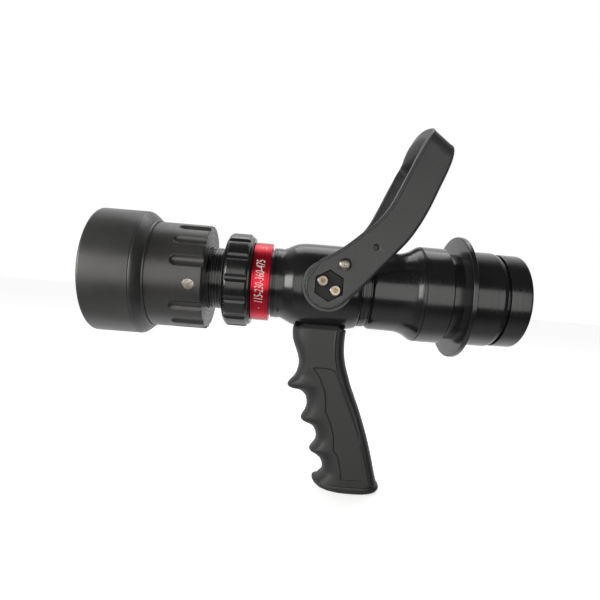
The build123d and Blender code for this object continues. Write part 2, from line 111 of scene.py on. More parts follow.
def turned_metal(name, base, wear, rough=0.27, rings=1.0, metallic=0.0, spec=0.5, wear_amt=0.35, ring_bump=0.05):
    """Anodised turned aluminium: fine lathe rings along X, faint mottling, lighter worn edges."""
    m, nt, p = new_mat(name)
    fine = noise(nt, coords(nt, (2600 * rings, 25, 25)), 1.0, 2)
    mott = noise(nt, coords(nt), 38, 4, 0.6)
    specks = noise(nt, coords(nt), 900, 2, 0.5)
    c0 = mixc(nt, ramp(nt, mott, [(0.35, 0.0), (0.7, 1.0)]), tuple(0.82 * v for v in base), tuple(1.2 * v for v in base))
    c1 = mixc(nt, ramp(nt, specks, [(0.68, 0.0), (0.80, 0.35)]), c0, wear)
    wearf = nt.nodes.new("ShaderNodeMath")
    wearf.operation = "MULTIPLY"
    nt.links.new(edge_wear(nt), wearf.inputs[0])
    wearf.inputs[1].default_value = wear_amt
    nt.links.new(mixc(nt, wearf.outputs[0], c1, wear), p.inputs["Base Color"])
    nt.links.new(ramp(nt, noise(nt, coords(nt, (1400 * rings, 12, 12)), 1.0, 3), [(0.25, rough - 0.05), (0.75, rough + 0.07)]),
                 p.inputs["Roughness"])
    p.inputs["Metallic"].default_value = metallic
    p.inputs["Specular IOR Level"].default_value = spec
    b = bump(nt, p, fine, ring_bump, 0.00012)
    bump(nt, p, mott, 0.06, 0.0006, b)
    return m


def moulded(name, base, light, rough=0.55, grain=1.0, spec=0.4, grain_scale=1900, dust=0.25):
    """Moulded polymer or rubber: spark-eroded grain, faint mottling, rubbed edges and dust."""
    m, nt, p = new_mat(name)
    g1 = noise(nt, coords(nt), grain_scale, 2, 0.5)
    v = nt.nodes.new("ShaderNodeTexVoronoi")
    v.inputs["Scale"].default_value = grain_scale * 0.7
    nt.links.new(coords(nt), v.inputs["Vector"])
    mott = noise(nt, coords(nt), 24, 5, 0.62)
    c0 = mixc(nt, ramp(nt, mott, [(0.3, 0.0), (0.72, 1.0)]), tuple(0.8 * x for x in base), tuple(1.22 * x for x in base))
    f = nt.nodes.new("ShaderNodeMath")
    f.operation = "MULTIPLY"
    nt.links.new(edge_wear(nt, 0.51, 0.60), f.inputs[0])
    f.inputs[1].default_value = dust
    nt.links.new(mixc(nt, f.outputs[0], c0, light), p.inputs["Base Color"])
    nt.links.new(ramp(nt, mott, [(0.3, rough - 0.06), (0.75, rough + 0.08)]), p.inputs["Roughness"])
    p.inputs["Specular IOR Level"].default_value = spec
    b = bump(nt, p, g1, 0.28 * grain, 0.00022)
    b = bump(nt, p, v.outputs["Distance"], 0.20 * grain, 0.00016, b)
    bump(nt, p, mott, 0.05, 0.0012, b)
    return m


def bare_metal(name, base, rough=0.22, brushed=(30, 30, 900), dark=0.6):
    m, nt, p = new_mat(name)
    br = noise(nt, coords(nt, brushed), 1.0, 3)
    mott = noise(nt, coords(nt), 160, 4)
    c = mixc(nt, ramp(nt, mott, [(0.3, 0.0), (0.75, 1.0)]), tuple(dark * v for v in base), base)
    nt.links.new(c, p.inputs["Base Color"])
    nt.links.new(ramp(nt, br, [(0.2, rough - 0.07), (0.8, rough + 0.10)]), p.inputs["Roughness"])
    p.inputs["Metallic"].default_value = 1.0
    b = bump(nt, p, br, 0.10, 0.0001)
    bump(nt, p, mott, 0.12, 0.00015, b)
    return m


M_BODY = turned_metal("black_anodised_turned", (0.011, 0.0112, 0.012), (0.10, 0.10, 0.10), rough=0.19, spec=0.5, wear_amt=0.22)
M_SLEEVE = turned_metal("black_anodised_satin", (0.031, 0.0305, 0.0295), (0.14, 0.135, 0.125), rough=0.33, spec=0.55, wear_amt=0.25)
M_RING = turned_metal("black_anodised_bright", (0.010, 0.010, 0.0105), (0.16, 0.16, 0.155), rough=0.20, rings=0.6, spec=0.5, wear_amt=0.4)
M_HEX = turned_metal("black_anodised_milled", (0.006, 0.006, 0.006), (0.05, 0.05, 0.05), rough=0.5, rings=0.3, spec=0.12)
M_RED = turned_metal("red_anodised", (0.50, 0.006, 0.024), (0.62, 0.16, 0.17), rough=0.27, metallic=0.72, spec=0.5, wear_amt=0.22)
M_SADDLE = turned_metal("black_anodised_dull", (0.010, 0.010, 0.010), (0.06, 0.06, 0.06), rough=0.45, rings=0.3, spec=0.22)
M_MARK = moulded("engraved_fill", (0.62, 0.55, 0.53), (0.8, 0.75, 0.72), rough=0.5, grain=0.6, dust=0.3)
M_BUMPER = moulded("bumper_rubber", (0.036, 0.0362, 0.0355), (0.06, 0.058, 0.054), rough=0.34, grain=0.45, spec=0.55, grain_scale=2600, dust=0.3)
M_SEAL = moulded("nitrile_rubber", (0.010, 0.010, 0.010), (0.04, 0.04, 0.04), rough=0.6, grain=0.7)
M_GRIP = moulded("grip_nylon", (0.019, 0.0197, 0.0197), (0.085, 0.085, 0.08), rough=0.50, grain=1.0, spec=0.42, dust=0.30)
M_LEVER = moulded("lever_nylon", (0.027, 0.028, 0.0285), (0.12, 0.12, 0.12), rough=0.46, grain=0.8, spec=0.45, grain_scale=2300, dust=0.35)
M_SCREW = bare_metal("nickel_screw", (0.34, 0.31, 0.27), rough=0.32, brushed=(240, 240, 240), dark=0.45)
M_STEEL = bare_metal("stainless", (0.60, 0.58, 0.55), rough=0.26)
M_SOCKET = bare_metal("screw_socket_brassy", (0.30, 0.19, 0.09), rough=0.34, brushed=(120, 120, 120), dark=0.4)
M_PTFE = moulded("ptfe_seat", (0.72, 0.72, 0.69), (0.85, 0.85, 0.82), rough=0.42, grain=0.3)
M_FOG = moulded("fog_teeth_polymer", (0.022, 0.022, 0.022), (0.07, 0.07, 0.07), rough=0.45, grain=0.6)


# ============================================================ mesh helpers (millimetres in)
def build(name, verts, faces, mat, body, repl=(), angle=32, flat=False):
    me = bpy.data.meshes.new(name)
    me.from_pydata((np.asarray(verts, dtype=float) * 0.001).tolist(), [], faces)
    me.validate()
    bm = bmesh.new()
    bm.from_mesh(me)
    bmesh.ops.recalc_face_normals(bm, faces=bm.faces)
    bm.to_mesh(me)
    bm.free()
    me.shade_smooth()
    if not flat:
        me.set_sharp_from_angle(angle=math.radians(angle))
    ob = bpy.data.objects.new(name, me)
    bpy.context.scene.collection.objects.link(ob)
    me.materials.append(mat)
    if body is not None:
        settle(ob, body, repl)
    return ob


def settle(ob, body, repl=()):
    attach(ob, body)
    if repl:
        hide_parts(*repl)


def soften(pts, step=12.0):
    """Closed polyline of (x, r, fillet) to points with each corner rounded."""
    out, n = [], len(pts)
    for i in range(n):
        a, b, c = (np.array(pts[(i + k) % n][:2], float) for k in (-1, 0, 1))
        f = pts[i][2] if len(pts[i]) > 2 else 0.25
        u, w = a - b, c - b
        lu, lw = np.linalg.norm(u), np.linalg.norm(w)
        if f <= 0 or lu < 1e-6 or lw < 1e-6:
            out.append(tuple(b))
            continue
        u, w = u / lu, w / lw
        cosang = float(np.clip(np.dot(u, w), -1, 1))
        turn = pi - math.acos(cosang)
        if turn < math.radians(4):
            out.append(tuple(b))
            continue
        t = f * math.tan(turn / 2)
        lim = 0.46 * min(lu, lw)
        if t > lim:
            f, t = f * lim / t, lim
        p0, p1 = b + u * t, b + w * t
        bis = (u + w) / np.linalg.norm(u + w)
        cen = b + bis * math.sqrt(f * f + t * t)
        a0 = math.atan2(*(p0 - cen)[::-1])
        a1 = math.atan2(*(p1 - cen)[::-1])
        d = (a1 - a0 + pi) % (2 * pi) - pi
        k = max(2, int(math.ceil(abs(d) / math.radians(step))))
        out += [tuple(cen + f * np.array([math.cos(a0 + d * j / k), math.sin(a0 + d * j / k)])) for j in range(k + 1)]
    return out


def lathe_data(rings, segs, closed=True):
    """rings: list of (x, r) or (x array, r array); r is a number or an array over the angle grid."""
    th = np.arange(segs) * 2 * pi / segs if isinstance(segs, int) else np.asarray(segs)
    n = len(th)
    c, s = np.cos(th), np.sin(th)
    verts, idx = [], []
    for x, r in rings:
        if np.ndim(r) == 0 and abs(r) < 1e-6:
            idx.append([len(verts)] * n)
            verts.append((float(np.mean(x)), 0.0, 0.0))
            continue
        r = np.broadcast_to(r, (n,))
        xx = np.broadcast_to(x, (n,))
        idx.append(list(range(len(verts), len(verts) + n)))
        verts += list(zip(xx.tolist(), (r * c).tolist(), (r * s).tolist()))
    faces = []
    m = len(rings)
    for i in range(m if closed else m - 1):
        a, b = idx[i], idx[(i + 1) % m]
        if a[0] == a[1] and b[0] == b[1]:
            continue
        for j in range(n):
            k = (j + 1) % n
            f = [a[j], a[k], b[k], b[j]]
            f = [v for q, v in enumerate(f) if v not in f[:q]]
            if len(f) > 2:
                faces.append(f)
    return verts, faces


def lathe(name, pts, mat, body, repl=(), segs=224, angle=32, fil=True):
    prof = soften(pts) if fil else [p[:2] for p in pts]
    v, f = lathe_data(prof, segs)
    return build(name, v, f, mat, body, repl, angle)


def evaluated(ob):
    dg = bpy.context.evaluated_depsgraph_get()
    return bpy.data.meshes.new_from_object(ob.evaluated_get(dg))


def cut(ob, tools, op="DIFFERENCE"):
    """Boolean with each tool object in turn, applied; the tools are removed."""
    for t in tools:
        md = ob.modifiers.new("b", "BOOLEAN")
        md.operation = op
        md.solver = "EXACT"
        md.object = t
        me = evaluated(ob)
        ob.modifiers.clear()
        old = ob.data
        ob.data = me
        bpy.data.meshes.remove(old)
        bpy.data.objects.remove(t)
    return ob


def finish_shade(ob, angle=32):
    ob.data.shade_smooth()
    ob.data.set_sharp_from_angle(angle=math.radians(angle))


def prism(name, poly, d0, d1, place, bev=0.0, mat=None, segs=3):
    """Closed prism of a 2D polygon, z from d0 to d1, with its rims rounded by bev, placed by a matrix (mm)."""
    poly = [np.array(p, float) for p in poly]
    n = len(poly)
    cen = sum(poly) / n
    layers = []
    if bev > 0:
        for k in range(segs + 1):
            a = pi / 2 * k / segs
            layers.append((d0 + bev * (1 - math.sin(a)), bev * (1 - math.cos(a))))
        for k in range(segs + 1):
            a = pi / 2 * (1 - k / segs)
            layers.append((d1 - bev * (1 - math.sin(a)), bev * (1 - math.cos(a))))
    else:
        layers = [(d0, 0), (d1, 0)]
    nrm = []
    for i in range(n):
        e = poly[(i + 1) % n] - poly[i - 1]
        nn = np.array([e[1], -e[0]])
        nrm.append(nn / (np.linalg.norm(nn) + 1e-9))
    area = sum(poly[i][0] * poly[(i + 1) % n][1] - poly[(i + 1) % n][0] * poly[i][1] for i in range(n))
    sg = 1 if area > 0 else -1
    verts, faces = [], []
    for z, off in layers:
        for i in range(n):
            q = poly[i] - sg * nrm[i] * off
            verts.append(tuple(place @ Vector((q[0], q[1], z))))
    m = len(layers)
    for l in range(m - 1):
        for i in range(n):
            k = (i + 1) % n
            faces.append([l * n + i, l * n + k, (l + 1) * n + k, (l + 1) * n + i])
    faces.append(list(range(n)))
    faces.append(list(range((m - 1) * n, m * n)))
    return build(name, verts, faces, mat or M_STEEL, None)


def turned(name, pts, place, mat, segs=48, angle=32, fil=True):
    """Lathe part whose axis is local Z: pts are (z, r, fillet); placed by a matrix (mm)."""
    prof = soften(pts) if fil else [p[:2] for p in pts]
    v, f = lathe_data(prof, segs)
    v = [tuple(place @ Vector((b, c, a))) for a, b, c in v]
    return build(name, v, f, mat, None, angle=angle)


def join(name, obs):
    bm = bmesh.new()
    mats = []
    for o in obs:
        for m in o.data.materials:
            if m not in mats:
                mats.append(m)
    for o in obs:
        t = bmesh.new()
        t.from_mesh(o.data)
        remap = [mats.index(m) for m in o.data.materials]
        for f in t.faces:
            f.material_index = remap[f.material_index]
        tmp = bpy.data.meshes.new("t")
        t.to_mesh(tmp)
        t.free()
        bm.from_mesh(tmp)
        bpy.data.meshes.remove(tmp)
    me = bpy.data.meshes.new(name)
    bm.to_mesh(me)
    bm.free()
    for m in mats:
        me.materials.append(m)
    ob = bpy.data.objects.new(name, me)
    bpy.context.scene.collection.objects.link(ob)
    for o in obs:
        bpy.data.objects.remove(o)
    return ob


def circle(r, n=32, cx=0, cy=0, a0=0):
    return [(cx + r * math.cos(a0 + 2 * pi * k / n), cy + r * math.sin(a0 + 2 * pi * k / n)) for k in range(n)]


def smin(a, b, k):
    h = np.clip(0.5 + 0.5 * (b - a) / k, 0, 1)
    return b * (1 - h) + a * h - k * h * (1 - h)


# placements: local z along -Y (near side) or +Y (far side), local x = X, local y = Z
def side_frame(x, z, s):
    """Matrix that puts local (x, y, z) at X=x+lx, Z=z+ly, Y=s*lz."""
    return Matrix(((1, 0, 0, x), (0, 0, s, 0), (0, 1, 0, z), (0, 0, 0, 1)))


def radial_frame(x, theta, r0=0.0):
    """Local z radially outwards at angle theta (degrees from +Y to +Z), local x along X."""
    t = math.radians(theta)
    c, s = math.cos(t), math.sin(t)
    return Matrix(((1, 0, 0, x), (0, s, c, r0 * c), (0, -c, s, r0 * s), (0, 0, 0, 1)))


# ============================================================ front bumper
bump_pts = [(-295.3, 42.5, 0), (-295.3, 43.6, 0.35), (-296.7, 43.85, 0.5), (-297.3, 44.9, 0.6), (-299.6, 47.1, 5.0), (-302.6, 49.4, 3.0),
            (-303.6, 49.75, 0.3), (-303.9, 49.62, 0.15), (-304.3, 49.62, 0.15), (-304.7, 50.0, 0.4), (-342.0, 50.0, 2.6),
            (-342.0, 44.6, 1.4), (-340.6, 42.6, 1.2), (-337.2, 40.8, 0.8), (-336.0, 40.6, 0.2), (-336.0, 42.5, 0)]
lathe("front_bumper_skin", bump_pts, M_BUMPER, "sleeve", ["front_bumper"], segs=256)

# ============================================================ pattern sleeve with ball-nosed slots
RC, RO = 5.2, 45.25
loc = sorted(set([round(v, 3) for v in
                  list(np.linspace(-12, 12, 33)[:-1]) + [s * q for s in (-1, 1) for q in
                   (4.6, 4.9, 5.15, 5.35, 5.5, 5.65, 5.8, 5.95, 6.1, 6.25, 6.45, 6.7, 7.1)]]))
ths = []
for k in range(15):
    ths += [math.radians(190 + 24 * k + v) for v in loc]
ths = np.array(ths)
lo_ = np.tile(np.radians(np.array(loc)), 15)
is_slot = np.repeat(np.array([0.0 if k in (0, 5, 10) else 1.0 for k in range(15)]), len(loc))


def slot_r(x, r0):
    rc2 = RC ** 2 - np.minimum(0, x + 273.0) ** 2
    y = RO * np.sin(lo_)
    ins = rc2 - y ** 2
    r = np.where(ins > 0, RO * np.cos(lo_) - np.sqrt(np.maximum(ins, 1e-9)), RO * np.cos(lo_) + 3 * np.sqrt(np.maximum(-ins, 0)))
    r = np.where(is_slot > 0, r, r0 + 20)
    return smin(r, r0, 0.42)


outer = []
xs = list(np.arange(-294.9, -279.0, 2.0)) + list(np.arange(-278.9, -273.0, 0.22)) + list(np.arange(-273.0, -254.6, 1.4)) + [-254.2]
rear = [(-253.9, 42.5), (-253.5, 42.43), (-253.15, 42.25), (-252.85, 41.98), (-252.62, 41.7), (-252.5, 41.4)]
for x in xs:
    outer.append((x, slot_r(x, 42.5)))
for x, r in rear:
    outer.append((x, slot_r(x, r)))
face_r = [40.9, 40.3, 39.7, 39.1]
for r in face_r:
    outer.append((-252.5, np.minimum(slot_r(-252.6, 42.5), r)))
prof_in = [(-252.5, 38.6), (-252.5, 37.9), (-252.75, 37.8), (-252.75, 37.2), (-252.5, 37.1), (-252.5, 33.2), (-252.75, 33.1), (-252.75, 32.5),
           (-252.5, 32.4), (-252.5, 28.6), (-252.75, 28.5), (-252.75, 27.9), (-252.5, 27.8), (-252.5, 25.6), (-252.8, 25.25), (-253.2, 25.12),
           (-275.0, 25.12), (-275.0, 27.0), (-277.6, 27.0), (-277.6, 25.12), (-279.5, 25.12), (-279.5, 30.0), (-284.5, 34.0), (-297.5, 34.0),
           (-297.5, 42.5)]
v, f = lathe_data(outer + prof_in, ths)
slv = build("pattern_sleeve_turned", v, f, M_SLEEVE, None, angle=38)
# counterbores for the three cam screws
cut(slv, [turned("cb", [(39.2, 0, 0), (39.2, 4.7, 0), (44.0, 4.7, 0), (44.0, 0, 0)], radial_frame(-262.1, 190 + 120 * k), M_SLEEVE, segs=48,
                 fil=False) for k in range(3)])
finish_shade(slv, 38)
settle(slv, "sleeve", ["pattern_sleeve"])

lathe("mouth_tube_turned", [(-297.5, 34.0, 0), (-297.5, 42.5, 0), (-314.0, 42.5, 0), (-314.0, 44.2, 0), (-318.0, 44.2, 0), (-318.0, 42.5, 0),
                            (-336.0, 42.5, 0), (-336.0, 38.5, 0.3), (-331.0, 38.5, 0), (-331.0, 34.0, 0.3), (-328.6, 34.0, 0.05), (-328.4, 34.15, 0.05),
                            (-326.9, 34.15, 0.05), (-326.7, 34.0, 0.05)], M_SLEEVE, "sleeve", ["mouth_tube"], segs=224)

# cam screws: slotted cheese heads, a little proud of the sleeve
heads = []
for k in range(3):
    fr = radial_frame(-262.1, 190 + 120 * k)
    h = turned("h", [(39.3, 0, 0), (39.3, 3.3, 0), (39.3, 4.55, 0.1), (42.62, 4.55, 0.3), (42.8, 3.6, 1.5), (42.9, 0, 0)], fr, M_SCREW, 64)
    a = math.radians(38)
    blade = [(x * math.cos(a) - y * math.sin(a), x * math.sin(a) + y * math.cos(a)) for x, y in ((-6, -0.55), (6, -0.55), (6, 0.55), (-6, 0.55))]
    cut(h, [prism("s", blade, 41.0, 44, fr)])
    heads.append(h)
    heads.append(turned("d", [(23.1, 0, 0), (23.1, 2.5, 0.4), (39.25, 2.5, 0), (39.25, 0, 0)], fr, M_SCREW, 32))
cam = join("cam_screw_set", heads)
finish_shade(cam, 32)
settle(cam, "sleeve", ["cam_screws"])

# fog teeth in the mouth
nt_ = 24
seg = 24 * 16
th = np.arange(seg) * 2 * pi / seg
ph = (th * nt_ / (2 * pi)) % 1.0
tooth = np.clip((0.27 - np.abs(ph - 0.5)) / 0.05, 0, 1)
tooth = tooth * tooth * (3 - 2 * tooth)
rings = [(-331.0, 34.6), (-331.0, 38.4), (-336.2, 38.4), (-336.5, 38.3),
         (-336.6 - 3.4 * tooth, 38.1), (-336.7 - 3.6 * tooth, 37.8), (-336.7 - 3.6 * tooth, 35.4), (-336.6 - 3.4 * tooth, 35.0), (-336.4, 34.8),
         (-336.0, 34.6)]
v, f = lathe_data(rings, seg)
build("fog_teeth_moulded", v, f, M_FOG, "sleeve", ["fog_teeth_ring"], angle=40)

# ============================================================ barrel: a profile helper for a neck with fine turned grooves, which nothing below calls
def neck(x0, x1, pitch, r, d):
    out, x = [], x0
    while x + pitch <= x1 + 1e-6:
        out += [(x, r, 0.12), (x + pitch * 0.58, r, 0.12), (x + pitch * 0.68, r - d, 0.08), (x + pitch * 0.90, r - d, 0.08)]
        x += pitch
    return out


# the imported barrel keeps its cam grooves; it gets the turned finish

# ============================================================ flow ring: scalloped grip grooves all round
N_GRV = 14
loc = sorted(set([round(v, 3) for v in list(np.linspace(-180 / N_GRV, 180 / N_GRV, 21)[:-1]) +
                  [sg * q for sg in (-1, 1) for q in (3.2, 4.0, 4.5, 4.9, 5.2, 5.45, 5.65, 5.85, 6.1, 6.4, 6.8, 7.4)]]))
ths = np.radians(np.concatenate([179.4 + 360 / N_GRV * k + np.array(loc) for k in range(N_GRV)]))
lo_ = np.tile(np.radians(np.array(loc)), N_GRV)
RG, RGC = 4.2, 41.0
y = RGC * np.sin(lo_)
ins = RG ** 2 - y ** 2
gr_ = np.where(ins > 0, RGC * np.cos(lo_) - np.sqrt(np.maximum(ins, 1e-9)), RGC * np.cos(lo_) + 3 * np.sqrt(np.maximum(-ins, 0)))
fp = soften([(-239.5, 28.0, 0.3), (-239.5, 32.0, 0.5), (-238.6, 34.6, 1.0), (-237.2, 36.9, 1.5), (-235.4, 38.0, 1.0), (-234.2, 38.1, 0.5),
             (-221.4, 38.1, 0.6), (-220.1, 37.5, 0.5), (-219.7, 36.6, 0.2), (-219.5, 36.2, 0.2), (-218.4, 36.0, 0.5), (-217.3, 35.2, 0.3),
             (-217.3, 30.8, 0), (-218.5, 30.8, 0), (-218.5, 27.2, 0), (-217.3, 27.2, 0), (-217.3, 25.3, 0.2), (-239.5, 25.3, 0.2)], 10)
rings = [(x, smin(gr_, r, 0.45)) if r > 34.4 else (x, r) for x, r in fp]
v, f = lathe_data(rings, ths)
build("flow_ring_milled", v, f, M_RING, "flow_control", ["flow_ring"], angle=36)

# ============================================================ index ring: red, with engraved ticks and numbers
lathe("index_ring_turned", [(-217.0, 25.0, 0), (-217.0, 32.0, 0.5), (-215.6, 32.0, 0.1), (-215.4, 31.8, 0.1), (-215.1, 31.8, 0.1), (-214.9, 32.0, 0.1),
                            (-204.6, 32.0, 0.1), (-204.4, 31.8, 0.1), (-204.1, 31.8, 0.1), (-203.9, 32.0, 0.1), (-202.7, 32.0, 0.5),
                            (-202.7, 25.0, 0)], M_RED, "valve_body", ["index_ring"], segs=256)


def wrap_text(txt, theta, xc, size, r, mat, lift=0.06, shear=0.0, squeeze=1.0):
    """Figures that run round the ring, standing a hair proud as paint fill."""
    cu = bpy.data.curves.new("txt", "FONT")
    cu.body = txt
    cu.size = size
    cu.align_x = "CENTER"
    cu.align_y = "CENTER"
    cu.extrude = 0.03
    cu.shear = shear
    cu.resolution_u = 6
    ob = bpy.data.objects.new("txt", cu)
    bpy.context.scene.collection.objects.link(ob)
    me = evaluated(ob)
    bpy.data.objects.remove(ob)
    bm = bmesh.new()
    bm.from_mesh(me)
    bmesh.ops.remove_doubles(bm, verts=bm.verts, dist=1e-5)
    for vtx in bm.verts:
        lx, ly, lz = vtx.co
        a = math.radians(theta) - lx * squeeze / r
        rr = r + lift * (1 if lz > 0 else -1)
        vtx.co = Vector((xc - ly, rr * math.cos(a), rr * math.sin(a))) * 0.001
    me2 = bpy.data.meshes.new("txt")
    bm.to_mesh(me2)
    bm.free()
    bpy.data.meshes.remove(me)
    o2 = bpy.data.objects.new("txt", me2)
    bpy.context.scene.collection.objects.link(o2)
    me2.materials.append(mat)
    return o2


def tick(theta, x0, x1, w, r, mat):
    a0, n = math.radians(theta), 4
    verts = []
    for rr in (r - 0.05, r + 0.06):
        for x in (x0, x1):
            for j in range(n + 1):
                a = a0 + (j / n - 0.5) * w / r
                verts.append((x, rr * math.cos(a), rr * math.sin(a)))
    m = n + 1
    faces = []
    for j in range(n):
        faces.append([j, j + 1, m + j + 1, m + j])
        faces.append([2 * m + j, 3 * m + j, 3 * m + j + 1, 2 * m + j + 1])
        faces.append([j, 2 * m + j, 2 * m + j + 1, j + 1])
        faces.append([m + j, m + j + 1, 3 * m + j + 1, 3 * m + j])
    faces.append([0, m, 3 * m, 2 * m])
    faces.append([m - 1, 3 * m - 1, 4 * m - 1, 2 * m - 1])
    return build("tick", verts, faces, mat, None)


marks = []
for rep in (0, 180):
    marks.append(wrap_text("115-230-360-475", 181.5 + rep, -210.0, 9.6, 32.0, M_MARK, shear=0.18, squeeze=0.53))
    marks.append(tick(124 + rep, -212.6, -206.8, 0.5, 32.0, M_MARK))
    marks.append(tick(126.4 + rep, -207.6, -206.8, 2.2, 32.0, M_MARK))
    marks.append(tick(221.5 + rep, -210.2, -209.4, 0.8, 32.0, M_MARK))
mk = join("index_marks", marks)
finish_shade(mk, 40)
settle(mk, "valve_body")

# ============================================================ valve body: turned shell, side bosses, plinth
vb = [(-201.0, 23.0, 0), (-201.0, 28.8, 0.35), (-200.55, 28.8, 0.1), (-200.4, 28.35, 0.1), (-200.1, 28.35, 0.1), (-199.95, 28.8, 0.1),
      (-199.1, 28.8, 0.1), (-198.95, 28.35, 0.1), (-198.65, 28.35, 0.1), (-198.5, 28.8, 0.1), (-195.3, 28.8, 0.8), (-194.0, 28.4, 1.5),
      (-191.0, 29.4, 6), (-188.0, 31.0, 9), (-184.8, 32.6, 9), (-181.6, 33.7, 9), (-178.3, 34.25, 9), (-174.0, 34.6, 9), (-168.0, 34.7, 20),
      (-147.0, 34.7, 20), (-140.5, 34.3, 12), (-134.2, 33.3, 8), (-131.5, 32.45, 1.5), (-130.5, 31.7, 0.4), (-130.5, 29.0, 0), (-172.0, 29.0, 0),
      (-172.0, 25.0, 0), (-184.0, 25.0, 0), (-184.0, 19.0, 0), (-188.0, 19.0, 0), (-188.0, 23.0, 0)]
body = lathe("valve_body_turned", vb, M_BODY, None, segs=256)
adds = []
for s in (-1, 1):
    adds.append(turned("boss", [(22.0, 0, 0), (22.0, 20.0, 0), (36.9, 20.0, 0), (37.5, 19.4, 0.3), (37.5, 0, 0)], side_frame(-158.0, 0, s), M_BODY, 128))


def round_rect(x0, x1, y0, y1, r, n=6):
    out = []
    for cx, cy, a in ((x1 - r, y1 - r, 0), (x0 + r, y1 - r, pi / 2), (x0 + r, y0 + r, pi), (x1 - r, y0 + r, 3 * pi / 2)):
        out += [(cx + r * math.cos(a + pi / 2 * k / n), cy + r * math.sin(a + pi / 2 * k / n)) for k in range(n + 1)]
    return out


cut(body, adds, "UNION")
bores = []
for s in (-1, 1):
    bores.append(turned("bore", [(20.0, 0, 0), (20.0, 12.5, 0), (40.0, 12.5, 0), (40.0, 0, 0)], side_frame(-158.0, 0, s), M_BODY, 96, fil=False))
    sect = [(16.4 * math.cos(math.radians(a)), 16.4 * math.sin(math.radians(a))) for a in np.linspace(157.5, 47.5, 30)] + \
           [(27 * math.cos(math.radians(a)), 27 * math.sin(math.radians(a))) for a in np.linspace(47.5, 157.5, 30)]
    bores.append(prism("relief", sect, 34.2, 39.0, side_frame(-158.0, 0, s)))
bores.append(turned("cav", [(-29.0, 0, 0), (-29.0, 28.95, 0), (14.0, 28.95, 0), (14.0, 0, 0)], Matrix(((0, 0, 1, -145.0), (0, 1, 0, 0), (1, 0, 0, 0), (0, 0, 0, 1))), M_BODY, 128, fil=False))
cut(body, bores)
finish_shade(body, 30)
settle(body, "valve_body", ["valve_body"])

# flared saddle between the body and the grip
secs = [(-35.2, -180.9, -138.3, 15.2), (-34.7, -180.9, -138.3, 15.2), (-34.3, -180.5, -138.7, 15.15), (-33.6, -179.0, -139.9, 15.05),
        (-32.7, -177.1, -141.5, 14.9), (-31.6, -175.3, -143.0, 14.6), (-30.2, -173.7, -144.5, 14.2)]
v, f = [], []
for z, xa, xb, hy in secs:
    v += [(x, y, z) for x, y in round_rect(xa, xb, -hy, hy, 3.2, 8)]
n = len(v) // len(secs)
for i in range(len(secs) - 1):
    f += [[i * n + j, i * n + (j + 1) % n, (i + 1) * n + (j + 1) % n, (i + 1) * n + j] for j in range(n)]
f += [list(range(n)), list(range((len(secs) - 1) * n, len(secs) * n))]
sad = build("saddle_pad", v, f, M_SADDLE, None)
sad = join("grip_saddle_turned", [sad, prism("lug", round_rect(-168.0, -147.0, -8.0, 8.0, 1.0), -58.0, -35.0, Matrix.Identity(4), bev=0.4, mat=M_SADDLE)])
finish_shade(sad, 34)
settle(sad, "valve_body", ["grip_saddle"])

# tail adapter: grooved joint between body and inlet
lathe("tail_adapter_turned", [(-143.0, 25.0, 0), (-143.0, 29.0, 0), (-130.6, 29.0, 0), (-130.5, 29.9, 0.1), (-129.8, 29.9, 0.1), (-129.5, 30.95, 0.2),
                              (-127.9, 30.95, 0.1), (-127.75, 30.75, 0.05), (-127.55, 30.75, 0.05), (-127.4, 30.95, 0.1), (-126.6, 30.95, 0.1), (-126.45, 30.75, 0.05),
                              (-126.25, 30.75, 0.05), (-126.1, 30.95, 0.1), (-124.7, 30.95, 0.25), (-124.4, 29.6, 0.15), (-123.3, 29.6, 0.15),
                              (-123.0, 30.5, 0.2), (-122.3, 30.5, 0.15), (-122.3, 24.0, 0), (-115.4, 24.0, 0), (-114.2, 22.0, 0), (-111.8, 22.0, 0), (-110.6, 24.0, 0),
                              (-106.2, 24.0, 0), (-106.2, 22.0, 0), (-103.8, 22.0, 0), (-103.8, 24.0, 0), (-100.6, 24.0, 0.2), (-100.6, 19.0, 0.2),
                              (-132.0, 19.0, 0), (-132.0, 25.0, 0)], M_BODY, "valve_body", ["tail_adapter"], segs=224)

# ============================================================ inlet body, spigot tube, push ring
lathe("inlet_body_turned", [(-122.0, 24.06, 0), (-122.0, 30.6, 0.3), (-121.0, 31.8, 1.6), (-119.2, 32.35, 2.5), (-108.0, 32.5, 0), (-97.5, 32.75, 12),
                            (-93.8, 33.6, 10), (-90.5, 34.8, 10), (-88.3, 36.0, 10), (-85.8, 37.75, 10), (-83.7, 39.05, 3), (-82.95, 39.2, 0.2),
                            (-82.75, 38.65, 0.12), (-82.3, 38.65, 0.12), (-82.1, 39.45, 0.2), (-80.4, 39.6, 1.0), (-62.0, 39.6, 0.4), (-61.0, 38.7, 0.4),
                            (-61.0, 34.5, 0), (-79.0, 34.5, 0), (-79.0, 30.6, 0.3), (-83.0, 29.6, 3), (-98.0, 20.2, 3), (-100.2, 20.0, 0.3),
                            (-100.2, 24.06, 0)], M_BODY, "inlet", ["inlet_body"], segs=256)
lathe("spigot_turned", [(-78.0, 31.0, 0), (-78.0, 34.5, 0), (-61.0, 34.5, 0), (-61.0, 35.5, 0.1), (-17.1, 35.5, 0.2), (-17.1, 38.3, 0.5),
                        (-8.4, 38.3, 0), (-1.6, 38.3, 1.2), (-0.5, 37.8, 0.6), (0.0, 36.8, 0.5), (0.0, 31.0, 0)],
      M_BODY, "inlet", ["spigot_tube"], segs=256)
lathe("push_flange_turned", [(-51.8, 35.56, 0), (-51.8, 50.2, 0.7), (-47.8, 50.2, 0.7), (-47.8, 35.56, 0)], M_BODY, "push_off",
      ["push_flange"], segs=256)
